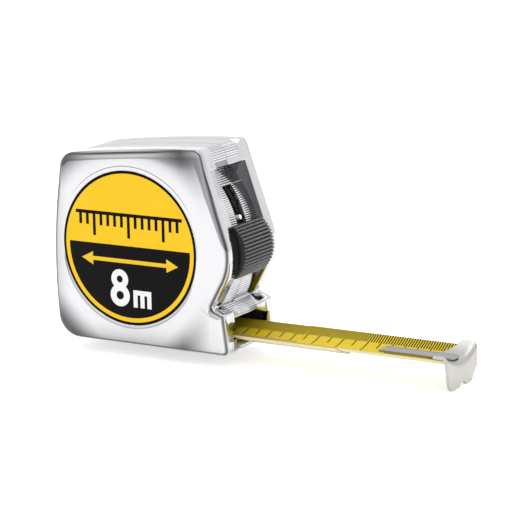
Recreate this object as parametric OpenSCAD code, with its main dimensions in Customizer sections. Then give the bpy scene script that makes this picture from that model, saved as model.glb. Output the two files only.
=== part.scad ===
// Pocket tape measure: a chromed two-shell case, a spring reel, a curled steel tape with
// an end hook, and a thumb lock that slides round the reel axis.
// Origin: on the flat base, straight below the reel axis, on the middle plane.
// +X points along the tape towards the hook, +Z up; Y runs across the tape.

/* [Tape] */
// Width of the steel tape, measured flat
tape_w = 25; // [22:0.5:32]
// Length of tape on the reel, in metres
tape_len = 8; // [5:0.5:9]
// Real thickness of the coated steel, which sets the coil's size
tape_real_t = 0.13; // [0.11:0.01:0.15]
// Thickness of the two straight tape pieces
strip_t = 0.2; // [0.15:0.01:0.25]
// Radius of the tape's curl, on its upper face
curl_r = 21; // [19:0.5:26]
// Height of the middle of the tape's upper face over the base
belly_z = 3.8; // [3.8:0.1:4.6]
// Distance from the reel axis to the hook's inner face, as it rests
tape_reach = 124.7; // [110:0.1:135]
// Length of the outer straight piece, behind the hook
outer_len = 66; // [50:1:66]
// Length of the inner straight piece, which feeds the outer one
inner_len = 65; // [58:1:66]

/* [Case] */
// Height of the case at its crown
case_h = 75; // [73:1:95]
// Room above the coil, up to the crown
crown_room = 9.1; // [9:0.1:11]
// Room beside the tape on each side: flange, washer, boss and wall
side_room = 6.5; // [6.5:0.1:9]
// Thickness of the shells' walls
wall_t = 2.2; // [1.6:0.05:2.65]
// Radius of the edge between side and rim
edge_r = 3; // [2:0.1:3.4]
// Room behind the reel's flange, out to the back
back_room = 4.2; // [4:0.1:7]
// Radial room between the flange and the outside of the lock's track
lock_room = 7.8; // [7.6:0.1:9]
// How far the case bulges in front of the track
bulge_room = 4.4; // [4:0.1:6]
// Lean of the upper front, in degrees
front_lean = 19.4; // [14:0.1:20]
// Height of the nose, where the tape comes out
nose_h = 15.6; // [15.4:0.1:17]
// How far the nose stands behind the bulge
nose_back = 1.5; // [1:0.1:2.5]
// Clear height of the mouth over its floor
mouth_h = 9.2; // [8.8:0.1:9.4]

/* [Thumb lock] */
// Width of the thumb slider
slider_w = 20.6; // [16:0.1:24.8]
// Angle that the slider covers, seen from the reel axis
slider_span = 28.6; // [24:0.2:30]
// How far the slider's crest stands off the track
slider_rise = 6.8; // [5:0.1:7.6]
// Number of grip ribs on the slider
slider_ribs = 15; // [9:1:17]
// Angle that the lock travels, from locked to free
lock_travel = 17.5; // [10:0.5:18]
// Half width of the slot in the track
slot_half = 3.2; // [2:0.1:3.6]
// Half width of the brake strip behind the track
brake_half = 6; // [4:0.5:7]

/* [Reel] */
// Radius of the fixed centre post
post_r = 3; // [2.4:0.1:3.8]
// Thickness of the reel's flanges
flange_t = 1; // [0.8:0.1:1.3]
// Thickness of the drum's wall
drum_t = 1.6; // [1.2:0.1:2]
// Turns of the power spring that are drawn
spring_turns = 7; // [4:1:9]
// Thickness of the drawn spring strip
spring_t = 0.6; // [0.3:0.1:0.8]

/* [Hook] */
// Thickness of the hook's steel, which is also its free play
hook_t = 1.1; // [0.8:0.1:1.3]
// Width of the hook
hook_w = 24.4; // [20:0.1:25]
// How far the hook hangs below the base
hook_drop = 4.2; // [2:0.1:5]
// Width of the riveted cover strip
cover_w = 6.6; // [5:0.1:8]
// Spacing of the hook's rivets
rivet_pitch = 10.4; // [9:0.1:11]

/* [Labels and clip] */
// Radius of the round side labels
label_r = 28.8; // [20:0.1:29.5]
// Thickness of a label
label_t = 0.3; // [0.2:0.05:0.5]
// Width of the belt clip
clip_w = 14; // [10:1:18]
// Thickness of the belt clip's steel
clip_t = 1; // [0.8:0.1:1.2]
// Clear gap for a belt, under the clip
belt_gap = 5; // [4.5:0.1:7]

/* [Hidden] */
$fn = 96;

fit = 0.05;             // running clearance, on the radius
gap = 0.3;              // clearance between pieces that pass each other
thin_gap = 0.1;         // clearance between the two nested tape pieces

// reel and tape
half_w = tape_w / 2 + side_room;
inner_y = half_w - wall_t;
curl_z = belly_z + curl_r;
curl_half = tape_w / 2 / curl_r * 180 / PI;
tape_edge_z = curl_z - curl_r * cos(curl_half);
tape_half = curl_r * sin(curl_half);
coil_lift = 0.5;
coil_r = (case_h - crown_room - tape_edge_z - coil_lift) / 2;
reel_z = tape_edge_z + coil_lift + coil_r;
drum_r = sqrt(pow(coil_r, 2) - tape_len * 1000 * tape_real_t / PI) - fit;
reel_half = tape_w / 2 + gap;
flange_r = coil_r + 1.2;
flange_y = reel_half + flange_t;
washer_t = 0.9;
boss_y = flange_y + washer_t + 2 * fit;
boss_r = post_r + 2;

// lock track, concentric with the reel
track_r = flange_r + lock_room;
track_t = 1.8;
track_in = track_r - track_t;
track_top = 53.5;
track_low = -32;
slider_r = track_r + gap;
slider_mid = 0.4;
slider_top = slider_mid + slider_span / 2;
slider_low = slider_mid - slider_span / 2;
slider_edge = 2.5;
pin_r = 0.9;
pin_angle = slider_top + 2.9;
slot_low = slider_low + 4;
slot_top = pin_angle + lock_travel + 1.7;
recess_half = slider_w / 2 + 0.7;
carrier_out = track_in - gap;
carrier_t = 1.5;
strip_arc_t = 1;
strip_out = carrier_out - 0.1;
strip_low = -57;
pad_span = 6;
carrier_low = slider_low + 8;
carrier_top = pin_angle + 2;

// case outline, seen from the side: [x, z, corner radius], running round from the heel
case_back = flange_r + back_room;
case_front = track_r + bulge_room;
bulge_x = case_front + 1.5;
bulge_z = reel_z - 2.2;
nose_x = case_front - nose_back;
notch_x = nose_x - 6.3;
notch_z = nose_h + 2;
crown_z = case_h + 0.2;
outline = [
    [-case_back + 1, 0, 9],
    [nose_x, 0, 2.5],
    [nose_x - 1.4, nose_h, 1.5],
    [notch_x, notch_z, 0.8],
    [bulge_x, bulge_z, 20],
    [bulge_x - tan(front_lean) * (crown_z - bulge_z), crown_z, 3.5],
    [0, case_h - 1.1, 520],
    [-case_back + 3.5, case_h - 5.1, 6.5],
    [-case_back - 0.9, reel_z - 2.9, 230]];

// screws: [x, z]
screw_r = 1.15;
screw_head_r = 2.4;
screw_boss_r = 2.7;
screw_tip_y = -inner_y + 5;
screw_at = [
    [17.5 * coil_r / 29, case_h - 7.2],
    [-case_back + 9.9, case_h - 12],
    [-case_back + 6.6, tape_edge_z + 4.2]];
post_screw_r = 1.2;
post_screw_head_r = 2.8;
post_hole_y = 8;

// hook
hook_gap = 0.05;
saddle_top_r = curl_r - hook_gap - hook_t;
hook_half = hook_w / 2;
hook_taper = 2.3;
cover_t = 0.8;
cover_z = curl_z - sqrt(pow(saddle_top_r, 2) - pow(cover_w / 2, 2)) + fit;
cover_front = tape_reach - 1.2;
cover_back = tape_reach - 30.4;
rivet_front = tape_reach - 6.6;
rivet_r = 1;
rivet_head_r = 1.9;
rivet_head_t = 0.6;
tang_half = cover_w / 2 - 0.4;

// mouth, with its floor just under the feeding piece's dip
liner_t = 0.5;
dip_half = rivet_head_r + 0.5;
dip_z = curl_z - curl_r - 2 * strip_t - rivet_head_t - thin_gap;
floor_z = dip_z - liner_t - 0.4;
mouth_z = floor_z + mouth_h;
mouth_half = tape_half + 1.15;
nose_root = track_in * cos(track_low) - 1.2;
nub_y = tape_half - 2.3;
nub_x = nose_x - 3;
nub_r = 1.5;
nub_top = curl_z - sqrt(pow(curl_r + 2 * strip_t + thin_gap, 2) - pow(nub_y - nub_r, 2)) - thin_gap;

// label seat and clip
label_seat = label_t + 0.05;
label_y = half_w - label_seat;
clip_top_z = reel_z + 28;
clip_screw_z = clip_top_z - 7;
clip_low_z = 13;
clip_screw_r = 1.4;

// ---- outline helpers ----

function unit(v) = v / norm(v);

// points of one rounded corner q, between its neighbours p and s
function corner(p, q, s, r) =
    let (a = unit(p - q), b = unit(s - q), half = acos(a * b) / 2,
        c = q + unit(a + b) * r / sin(half),
        from = q + a * r / tan(half) - c, to = q + b * r / tan(half) - c,
        a0 = atan2(from[1], from[0]), turn = atan2(to[1], to[0]) - a0,
        sweep = turn > 180 ? turn - 360 : turn < -180 ? turn + 360 : turn,
        steps = max(4, ceil(abs(sweep) / 12)))
    [for (i = [0:steps]) c + r * [cos(a0 + sweep * i / steps), sin(a0 + sweep * i / steps)]];

function xy(p) = [p[0], p[1]];

function rounded(pts) = let (n = len(pts))
    [for (i = [0:n - 1]) each corner(xy(pts[(i + n - 1) % n]), xy(pts[i]), xy(pts[(i + 1) % n]), pts[i][2])];

// the same outline with every side moved inwards by d
function inset(pts, d) = let (n = len(pts))
    [for (i = [0:n - 1])
        let (p = xy(pts[(i + n - 1) % n]), q = xy(pts[i]), s = xy(pts[(i + 1) % n]),
            e = unit(q - p), f = unit(s - q), m = [-e[1], e[0]], k = [-f[1], f[0]],
            moved = q + d * (m + k) / (1 + m * k), convex = e[0] * f[1] - e[1] * f[0] > 0)
        [moved[0], moved[1], convex ? max(pts[i][2] - d, 0.4) : pts[i][2] + d]];

// points on an arc about the reel axis
function arc(r, a0, a1, steps) =
    [for (i = [0:steps]) [r * cos(a0 + (a1 - a0) * i / steps), reel_z + r * sin(a0 + (a1 - a0) * i / steps)]];

// a bent strip of thickness t on one side of a path
function ribbon(path, t) = let (n = len(path))
    concat(path, [for (j = [n - 1:-1:0])
        let (e = j > 0 ? unit(path[j] - path[j - 1]) : unit(path[1] - path[0]),
            f = j < n - 1 ? unit(path[j + 1] - path[j]) : e,
            m = [-e[1], e[0]], k = [-f[1], f[0]])
        path[j] + t * (m + k) / (1 + m * k)]);

// an x-z drawing, stood up and given a thickness from y0 to y1
module across(y0, y1) translate([0, y1, 0]) rotate([90, 0, 0]) linear_extrude(y1 - y0) children();

// a y-z drawing, given a length from x0 to x1
module along(x0, x1) translate([x0, 0, 0]) rotate([90, 0, 90]) linear_extrude(x1 - x0) children();

// a round bar across the case, at x and z
module bar(x, z, r, y0, y1) translate([x, y1, z]) rotate([90, 0, 0]) cylinder(r = r, h = y1 - y0);

// a round bar that points out from the reel axis, at angle a
module spoke(a, r, from, to) translate([0, 0, reel_z]) rotate([0, 90 - a, 0]) translate([0, 0, from])
    cylinder(r = r, h = to - from);

module ring_sector(r0, r1, a0, a1) polygon(concat(arc(r1, a0, a1, 16), arc(r0, a1, a0, 16)));

module case_shape(d = 0) polygon(rounded(inset(outline, d)));

// ---- case ----

module outside_track() difference() {
    translate([0, mouth_z]) square([2 * case_front, reel_z + track_r * sin(track_top) - mouth_z]);
    translate([0, reel_z]) circle(r = track_r);
}

module lip() polygon(rounded([
    [track_in * cos(track_low) + 0.2, reel_z + track_in * sin(track_low), 0.3],
    [nose_x - 7.4, mouth_z, 0.5],
    [nose_x - 4.6, mouth_z, 1.2],
    [nose_x - 4.9, mouth_z + 2.2, 1.6],
    [track_r * cos(track_low) + 0.6, reel_z + track_r * sin(track_low) + 0.4, 0.4]]));

module ledge() intersection() {
    case_shape();
    translate([track_in * cos(track_top) - 1, reel_z + track_r * sin(track_top)])
        square([case_front, track_t]);
}

// the wall at each side of the track, out to the case's front
module track_side() intersection() {
    case_shape();
    difference() {
        translate([0, mouth_z]) square([2 * case_front, case_h]);
        translate([0, reel_z]) circle(r = track_in);
    }
}

module nose_block() intersection() {
    case_shape();
    translate([nose_root, 0]) square([case_front, nose_h + 1.2]);
}

// the closed block that a shell is hollowed from, with its rounded edge in steps
module shell_block() {
    steps = 5;
    across(0, half_w - edge_r) case_shape();
    for (i = [0:steps - 1]) {
        y = half_w - edge_r + edge_r * i / steps;
        t = edge_r * i / steps;
        across(y, y + edge_r / steps) case_shape(edge_r - sqrt(pow(edge_r, 2) - pow(t, 2)));
    }
}

// everything in one shell but its holes, for the side with y above 0
module shell_body() {
    difference() {
        shell_block();
        across(-1, inner_y) case_shape(wall_t);
        across(-1, recess_half) outside_track();
    }
    across(0, recess_half) ring_sector(track_in, track_r, track_low, track_top + 0.5);
    across(0, recess_half) ledge();
    across(0, recess_half) lip();
    across(recess_half, mouth_half + 0.6) track_side();
    across(mouth_half, inner_y) nose_block();
    bar(0, reel_z, boss_r, boss_y, inner_y);
    for (s = screw_at) bar(s[0], s[1], screw_boss_r, 0, inner_y + 0.1);
}

module shell_cuts() {
    // the tape's way out, through the front of the middle band
    translate([nose_root - 1.5, -0.1, floor_z]) cube([case_front, mouth_half + 0.1, mouth_h]);
    // the slot for the lock's stem
    rotate([90, 0, 0]) translate([0, 0, -slot_half]) linear_extrude(slot_half + 0.1)
        ring_sector(track_in - 0.5, track_r + 0.5, slot_low, slot_top);
    // seat for the centre post and for the label
    bar(0, reel_z, post_r + fit, boss_y - 0.1, inner_y);
    bar(0, reel_z, label_r + 0.1, label_y, half_w + 1);
}

module nubs() translate([nub_x, nub_y, 0.5]) cylinder(r = nub_r, h = nub_top - 0.5);

module left_half() {
    difference() {
        shell_body();
        shell_cuts();
    }
    nubs();
}

module case_left() color("gainsboro") difference() {
    mirror([0, 1, 0]) left_half();
    for (s = screw_at) bar(s[0], s[1], screw_r + fit, screw_tip_y - 1, 0.1);
}

module case_right() color("gainsboro") difference() {
    left_half();
    for (s = screw_at) {
        bar(s[0], s[1], screw_r + 0.4, -0.1, half_w + 1);
        bar(s[0], s[1], screw_head_r + 0.1, half_w - 2, half_w + 1);
    }
    bar(0, reel_z, post_screw_r + 0.2, inner_y - 0.1, half_w);
    bar(0, reel_z, post_screw_head_r + 0.1, label_y - 1.1, half_w);
    bar(0, clip_screw_z, clip_screw_r + fit, inner_y - 0.1, half_w + 1);
}

module label_disc() difference() {
    bar(0, reel_z, label_r, label_y, label_y + label_t);
    bar(0, reel_z - label_r, 1, label_y - 1, half_w + 1);
}

module label_left() color("gold") mirror([0, 1, 0]) label_disc();

module label_right() color("gold") difference() {
    label_disc();
    bar(0, clip_screw_z, clip_screw_r + 0.2, label_y - 1, half_w + 1);
}

module mouth_liner() color("dimgray")
    translate([nose_root + 0.3, -nub_y + 2, floor_z]) cube([nub_x - nose_root + 2, 2 * nub_y - 4, liner_t]);

// ---- fixed post and screws ----

module centre_post() color("silver") difference() {
    bar(0, reel_z, post_r, -inner_y, inner_y);
    translate([-0.5, -reel_half + 1, reel_z - post_r - 1]) cube([1, 2 * reel_half - 2, post_r + 1]);
    bar(0, reel_z, post_screw_r + fit, post_hole_y - 1, inner_y + 1);
}

module post_screw() color("silver") {
    bar(0, reel_z, post_screw_r, post_hole_y, label_y - 1.1);
    bar(0, reel_z, post_screw_head_r, label_y - 1.1, label_y);
}

module case_screws() color("silver") for (s = screw_at) difference() {
    union() {
        bar(s[0], s[1], screw_r, screw_tip_y, half_w - 1.9);
        bar(s[0], s[1], screw_head_r, half_w - 2, half_w - 0.4);
    }
    for (a = [0, 90]) translate([s[0], half_w - 1.2, s[1]]) rotate([0, a, 0])
        translate([-1.5, 0, -0.3]) cube([3, 2, 0.6]);
}

module thrust_washers() color("whitesmoke") for (side = [0, 1]) mirror([0, side, 0]) difference() {
    bar(0, reel_z, boss_r, flange_y + fit, flange_y + fit + washer_t);
    bar(0, reel_z, post_r + fit, flange_y - 1, boss_y + 1);
}

// ---- reel ----

rivet_a = 200;

module reel_drum() color("white") difference() {
    union() {
        bar(0, reel_z, drum_r, -reel_half, reel_half);
        bar(0, reel_z, flange_r, -flange_y, -reel_half);
    }
    bar(0, reel_z, drum_r - drum_t, -reel_half, reel_half + 1);
    bar(0, reel_z, post_r + fit, -flange_y - 1, 0);
    spoke(rivet_a, rivet_r + fit, drum_r - drum_t - 1, drum_r + 1);
}

module reel_cover() color("white") difference() {
    bar(0, reel_z, flange_r, reel_half, flange_y);
    bar(0, reel_z, post_r + fit, 0, flange_y + 1);
    for (a = [30:60:330]) bar(12 * cos(a), reel_z + 12 * sin(a), 2.2, 0, flange_y + 1);
}

spring_steps = 20 * spring_turns;
spring_in = post_r + gap;
spring_out = drum_r - drum_t - gap;
function spring_at(i, side) = let (a = 360 * spring_turns * i / spring_steps,
    r = spring_in + (spring_out - spring_in - spring_t) * i / spring_steps + side * spring_t)
    [r * cos(a + 20), reel_z + r * sin(a + 20)];

module power_spring() color("slategray") across(-reel_half + 2, reel_half - 2) polygon(concat(
    [for (i = [0:spring_steps]) spring_at(i, 0)],
    [for (i = [spring_steps:-1:0]) spring_at(i, 1)]));

module spring_rivet() color("silver") spoke(rivet_a, rivet_r, drum_r - drum_t - 0.2, drum_r);

module tape_coil() color("gold") difference() {
    bar(0, reel_z, coil_r, -tape_w / 2, tape_w / 2);
    bar(0, reel_z, drum_r + fit, -tape_w / 2 - 1, tape_w / 2 + 1);
}

// ---- straight tape ----

function curl(r, a0, a1, steps = 24) =
    [for (i = [0:steps]) let (a = a0 + (a1 - a0) * i / steps) [r * sin(a), curl_z - r * cos(a)]];

// a curled strip, top radius r and thickness t, between two angles from the middle
module curled(r, t, a0, a1) polygon(concat(curl(r, a0, a1), curl(r + t, a1, a0)));

outer_back = tape_reach - outer_len;
inner_front = outer_back + 23;
inner_back = inner_front - inner_len;
inner_top_r = curl_r + strip_t + thin_gap;

module tape_outer() color("gold") difference() {
    along(outer_back, tape_reach - 0.4) curled(curl_r, strip_t, -curl_half, curl_half);
    for (i = [0:2]) translate([rivet_front - i * rivet_pitch, 0, 0]) cylinder(r = rivet_r + fit, h = 9);
}

// the feeding piece dips in the middle, so that the hook's rivets pass over it
module tape_inner() color("gold") {
    r = inner_top_r + strip_t;
    wide = dip_half + strip_t;
    top_a = asin(dip_half / inner_top_r);
    low_a = asin(wide / r);
    along(inner_back, inner_front) polygon(concat(
        curl(inner_top_r, -curl_half, -top_a, 12),
        [[-dip_half, dip_z + strip_t], [dip_half, dip_z + strip_t]],
        curl(inner_top_r, top_a, curl_half, 12),
        curl(r, curl_half, low_a, 12),
        [[wide, dip_z], [-wide, dip_z]],
        curl(r, -low_a, -curl_half, 12)));
}

// ---- hook ----

module hook_face() difference() {
    polygon(rounded([
        [-hook_half + hook_taper, -hook_drop, 2.2],
        [-3, -hook_drop, 0.8],
        [-1.6, -hook_drop + 1.4, 0.6],
        [1.6, -hook_drop + 1.4, 0.6],
        [3, -hook_drop, 0.8],
        [4.6, -hook_drop, 0.8],
        [hook_half - 0.8, -hook_drop + 4.6, 1.2],
        [hook_half, belly_z + 2, 3],
        [hook_half, curl_z, 0.6],
        [-hook_half, curl_z, 0.6],
        [-hook_half, belly_z + 2, 3]]));
    shoulder_z = curl_z - saddle_top_r * cos(curl_half);
    polygon(concat(curl(saddle_top_r, -curl_half, curl_half), [
        [hook_half + 1, shoulder_z],
        [hook_half + 1, curl_z + 1],
        [-hook_half - 1, curl_z + 1],
        [-hook_half - 1, shoulder_z]]));
}

// the flange that lies on the tape, wide at the face and narrow under the cover strip
module saddle() intersection() {
    along(cover_back + 0.4, tape_reach + 0.1) curled(saddle_top_r, hook_t, -curl_half, curl_half);
    translate([0, 0, -1]) linear_extrude(20) polygon([
        [cover_back + 0.4, -tang_half],
        [tape_reach - 11, -tang_half],
        [tape_reach - 4.5, -hook_half],
        [tape_reach + 0.1, -hook_half],
        [tape_reach + 0.1, hook_half],
        [tape_reach - 4.5, hook_half],
        [tape_reach - 11, tang_half],
        [cover_back + 0.4, tang_half]]);
}

module hook() color("whitesmoke") difference() {
    union() {
        along(tape_reach, tape_reach + hook_t) hook_face();
        saddle();
    }
    // each rivet stands at the back of its slot, which lets the hook slide out
    for (i = [0:2]) translate([rivet_front - i * rivet_pitch, 0, 0]) {
        cylinder(r = rivet_r + 2 * fit, h = 9);
        translate([-hook_t - fit, 0, 0]) cylinder(r = rivet_r + 2 * fit, h = 9);
        translate([-hook_t - fit, -rivet_r - 2 * fit, 0]) cube([hook_t + fit, 2 * rivet_r + 4 * fit, 9]);
    }
}

module cover_strip() color("darkgray") difference() {
    translate([0, 0, cover_z]) linear_extrude(cover_t) polygon(rounded([
        [cover_back, -cover_w / 2, 0.3],
        [cover_front, -cover_w / 2, 2.2],
        [cover_front, cover_w / 2, 2.2],
        [cover_back + 0.4, cover_w / 2, 0.3]]));
    for (i = [0:2]) translate([rivet_front - i * rivet_pitch, 0, 0]) cylinder(r = rivet_r, h = 9);
}

module hook_rivets() color("silver") for (i = [0:2]) translate([rivet_front - i * rivet_pitch, 0, 0]) {
    under_z = curl_z - curl_r - strip_t;
    translate([0, 0, under_z - rivet_head_t]) cylinder(r = rivet_head_r, h = rivet_head_t);
    translate([0, 0, under_z - 0.01]) cylinder(r = rivet_r, h = cover_z + cover_t - under_z + 0.01);
}

// ---- thumb lock ----

crest_r = slider_r + slider_rise - gap;
edge_x = (slider_r + slider_edge) * cos(slider_span / 2);
edge_half = (slider_r + slider_edge) * sin(slider_span / 2);
crown_r = (pow(edge_half, 2) + pow(crest_r - edge_x, 2)) / (2 * (crest_r - edge_x));
rib_h = 0.5;
crown_half = asin(edge_half / crown_r);

// the ribbed outside of the slider: each rib is a low tooth
function crown_at(i) = let (a = crown_half * (2 * i / (4 * slider_ribs) - 1),
    r = crown_r - (i % 4 > 1 ? rib_h : 0), x = crest_r - crown_r + r * cos(a), z = r * sin(a))
    [x * cos(slider_mid) - z * sin(slider_mid), reel_z + x * sin(slider_mid) + z * cos(slider_mid)];

module lock_slider() color("dimgray") across(-slider_w / 2, slider_w / 2) polygon(concat(
    [for (i = [0:4 * slider_ribs]) crown_at(i)],
    arc(slider_r, slider_top, slider_low, 14)));

module lock_carrier() color("black") {
    across(-brake_half, brake_half) ring_sector(carrier_out - carrier_t, carrier_out, carrier_low, carrier_top);
    across(-slot_half + gap, slot_half - gap)
        ring_sector(carrier_out - 0.5, slider_r, slider_low + 9, slider_top - 1);
}

module lock_pin() color("white") spoke(pin_angle, pin_r, carrier_out, track_r + 0.2);

module brake_strip() color("black") across(-brake_half, brake_half)
    ring_sector(strip_out - strip_arc_t, strip_out, strip_low, carrier_low);

module brake_pad() color("saddlebrown") across(-brake_half, brake_half)
    ring_sector(strip_out, strip_out + pad_reach, strip_low, strip_low + pad_span);

// the pad's lower corner clears the hook's cover strip, which passes under it
pad_side_z = cover_z + cover_t + 0.2;
pad_reach = (reel_z - pad_side_z) / -sin(strip_low) - strip_out;

// ---- belt clip ----

clip_out = half_w + belt_gap + clip_t;
clip_path = [
    [half_w + clip_t, clip_top_z],
    [half_w + clip_t, clip_top_z - 13],
    [clip_out + 0.6, clip_top_z - 19],
    [clip_out - 0.2, clip_low_z + 5],
    [clip_out + 0.9, clip_low_z]];

module belt_clip() color("lightgray") difference() {
    along(-clip_w / 2, clip_w / 2) polygon(ribbon(clip_path, -clip_t));
    bar(0, clip_screw_z, clip_screw_r + fit, half_w - 1, half_w + 5);
}

module clip_screw() color("silver") {
    bar(0, clip_screw_z, clip_screw_r, inner_y - 0.8, half_w + clip_t);
    difference() {
        bar(0, clip_screw_z, 3, half_w + clip_t, half_w + clip_t + 1.4);
        for (a = [45, 135]) translate([0, half_w + clip_t + 0.7, clip_screw_z]) rotate([0, a, 0])
            translate([-1.8, 0, -0.35]) cube([3.6, 2, 0.7]);
    }
}

case_left();
case_right();
label_left();
label_right();
centre_post();
post_screw();
case_screws();
thrust_washers();
reel_drum();
reel_cover();
power_spring();
spring_rivet();
tape_coil();
tape_inner();
tape_outer();
hook();
cover_strip();
hook_rivets();
lock_slider();
lock_carrier();
lock_pin();
brake_strip();
brake_pad();
mouth_liner();
belt_clip();
clip_screw();
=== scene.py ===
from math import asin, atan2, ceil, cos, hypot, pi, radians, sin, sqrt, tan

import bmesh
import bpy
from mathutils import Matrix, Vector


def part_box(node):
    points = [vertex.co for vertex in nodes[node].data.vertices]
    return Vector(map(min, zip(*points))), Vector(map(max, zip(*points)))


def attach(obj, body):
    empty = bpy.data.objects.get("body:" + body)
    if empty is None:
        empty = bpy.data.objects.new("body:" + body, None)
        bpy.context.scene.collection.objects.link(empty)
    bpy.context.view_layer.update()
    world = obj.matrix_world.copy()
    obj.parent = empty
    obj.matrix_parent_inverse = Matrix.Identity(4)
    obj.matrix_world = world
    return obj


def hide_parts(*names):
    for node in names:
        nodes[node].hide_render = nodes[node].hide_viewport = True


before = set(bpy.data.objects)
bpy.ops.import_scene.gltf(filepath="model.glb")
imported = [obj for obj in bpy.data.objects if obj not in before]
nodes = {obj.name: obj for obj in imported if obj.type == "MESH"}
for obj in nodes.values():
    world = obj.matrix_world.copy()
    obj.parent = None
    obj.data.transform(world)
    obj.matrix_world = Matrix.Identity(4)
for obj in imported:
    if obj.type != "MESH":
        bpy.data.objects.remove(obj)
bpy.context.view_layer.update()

# %% [markdown]
# # A pocket tape measure
# The CAD model is loaded as a fixed frame. Every piece below is made round it, in the same
# place, and rides on one of its bodies, so that the moving pieces can still move.
# The work is done in millimetres, and each finished mesh is turned to metres once.

MM = 0.001
scene = bpy.context.scene


def box_mm(name):
    """Lowest and highest corner of a CAD node, in millimetres."""
    low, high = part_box(name)
    return low / MM, high / MM


coil_low, coil_high = box_mm("tape_coil")
coil_r = (coil_high.x - coil_low.x) / 2
reel_z = (coil_high.z + coil_low.z) / 2
half_w = box_mm("case_right")[1].y
hook_low, hook_high = box_mm("hook")
print(f"reel axis at {reel_z:.2f}, coil radius {coil_r:.2f}")
print(f"half width {half_w:.2f}, hook to {hook_high.x:.2f}")

# %% [markdown]
# ## Making meshes
# Most pieces are a skin pulled through rows of points, as a lofted sheet is. One grid is made
# for each skin, its points are laid on the rows, and the seams are merged. It is chosen because
# the rows stay readable, and one method serves the case, the tape, the hook and the grip.

# %% Skins, rows and finished pieces
def skin(rows, closed=True):
    """A bmesh through rows of points. A closed row's end joins its start, and open ends are capped."""
    across, along = len(rows[0]), len(rows) - 1
    cells = across if closed else across - 1
    bm = bmesh.new()
    grid = bmesh.ops.create_grid(bm, x_segments=cells, y_segments=along, size=1)["verts"]
    for v in grid:
        i = round((v.co.x + 1) / 2 * cells) % across
        j = round((v.co.y + 1) / 2 * along)
        v.co = rows[j][i]
    bmesh.ops.remove_doubles(bm, verts=bm.verts, dist=1e-4)
    rims = [e for e in bm.edges if e.is_boundary]
    if rims:
        bmesh.ops.holes_fill(bm, edges=rims, sides=0)
    bmesh.ops.recalc_face_normals(bm, faces=bm.faces)
    return bm


def piece(name, bm, body, finishes, stands_for=(), sharp=35):
    """Turns a bmesh in millimetres into a piece that rides on a body."""
    bmesh.ops.scale(bm, vec=(MM, MM, MM), verts=bm.verts)
    mesh = bpy.data.meshes.new(name)
    bm.to_mesh(mesh)
    open_edges = sum(not e.is_manifold for e in bm.edges)
    bm.free()
    for finish in finishes:
        mesh.materials.append(finish)
    mesh.shade_smooth()
    mesh.set_sharp_from_angle(angle=radians(sharp))
    obj = bpy.data.objects.new(name, mesh)
    scene.collection.objects.link(obj)
    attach(obj, body)
    if stands_for:
        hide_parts(*stands_for)
    print(f"{name}: {len(mesh.polygons)} faces, {open_edges} open edges")
    return obj


def soften(bm, width, least=50, segments=2):
    """Rounds the edges of a bmesh that turn by more than an angle."""
    edges = [e for e in bm.edges if e.is_manifold and e.calc_face_angle(0) > radians(least)]
    bmesh.ops.bevel(bm, geom=edges, offset=width, offset_type="OFFSET", affect="EDGES", segments=segments,
                    profile=0.5, material=-1, clamp_overlap=True)
    return bm


# %% [markdown]
# ## Making finishes
# Every finish is a node material on Object coordinates, which are metres here, so a pattern's
# scale is worked out from a real size. One helper adds a node with its settings and links, and
# a second uses it to build a whole formula, so that sums stay readable.

# %% Colours and nodes
def srgb(code):
    """A hex colour as the linear numbers that a shader takes."""
    parts = [int(code[i:i + 2], 16) / 255 for i in (1, 3, 5)]
    return (*(c / 12.92 if c <= 0.04045 else ((c + 0.055) / 1.055) ** 2.4 for c in parts), 1)


def add(tree, kind, inputs=None, **settings):
    """Adds a node. A link is a socket, and anything else is a value."""
    made = tree.nodes.new(kind)
    for name, value in settings.items():
        setattr(made, name, value)
    for key, value in (inputs or {}).items():
        if isinstance(value, bpy.types.NodeSocket):
            tree.links.new(value, made.inputs[key])
        else:
            made.inputs[key].default_value = value
    return made


def formula(tree, what):
    """Builds nested (operation, value, ...) tuples. A value is a number, a socket or another tuple."""
    if not isinstance(what, tuple):
        return what
    operation, *values = what
    inputs = {i: formula(tree, value) for i, value in enumerate(values)}
    return add(tree, "ShaderNodeMath", inputs, operation=operation).outputs[0]


def new_finish(name, colour, metallic, roughness):
    """A material with its shader's plain values set. Returns it, its tree, its shader and its place."""
    finish = bpy.data.materials.new(name)
    finish.use_nodes = True
    tree = finish.node_tree
    shader = tree.nodes["Principled BSDF"]
    shader.inputs["Base Color"].default_value = srgb(colour)
    shader.inputs["Metallic"].default_value = metallic
    shader.inputs["Roughness"].default_value = roughness
    place = add(tree, "ShaderNodeTexCoord").outputs["Object"]
    return finish, tree, shader, place


def grain(tree, shader, place, size_mm, depth_mm, low, high, stretch=(1, 1, 1)):
    """Fine unevenness: a bump of that grain size and depth, and roughness that wanders from low to high."""
    spread = add(tree, "ShaderNodeMapping", {"Vector": place, "Scale": stretch}).outputs["Vector"]
    fine = add(tree, "ShaderNodeTexNoise", {"Vector": spread, "Scale": 1 / (size_mm * MM), "Detail": 3})
    broad = add(tree, "ShaderNodeTexNoise", {"Vector": spread, "Scale": 1 / (14 * MM), "Detail": 4})
    rough = add(tree, "ShaderNodeMapRange", {
        "Value": broad.outputs["Fac"], "From Min": 0.35, "From Max": 0.7, "To Min": low, "To Max": high})
    bump = add(tree, "ShaderNodeBump", {
        "Height": fine.outputs["Fac"], "Distance": depth_mm * MM, "Strength": 1})
    tree.links.new(rough.outputs["Result"], shader.inputs["Roughness"])
    tree.links.new(bump.outputs["Normal"], shader.inputs["Normal"])
    return fine.outputs["Fac"], broad.outputs["Fac"]


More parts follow.
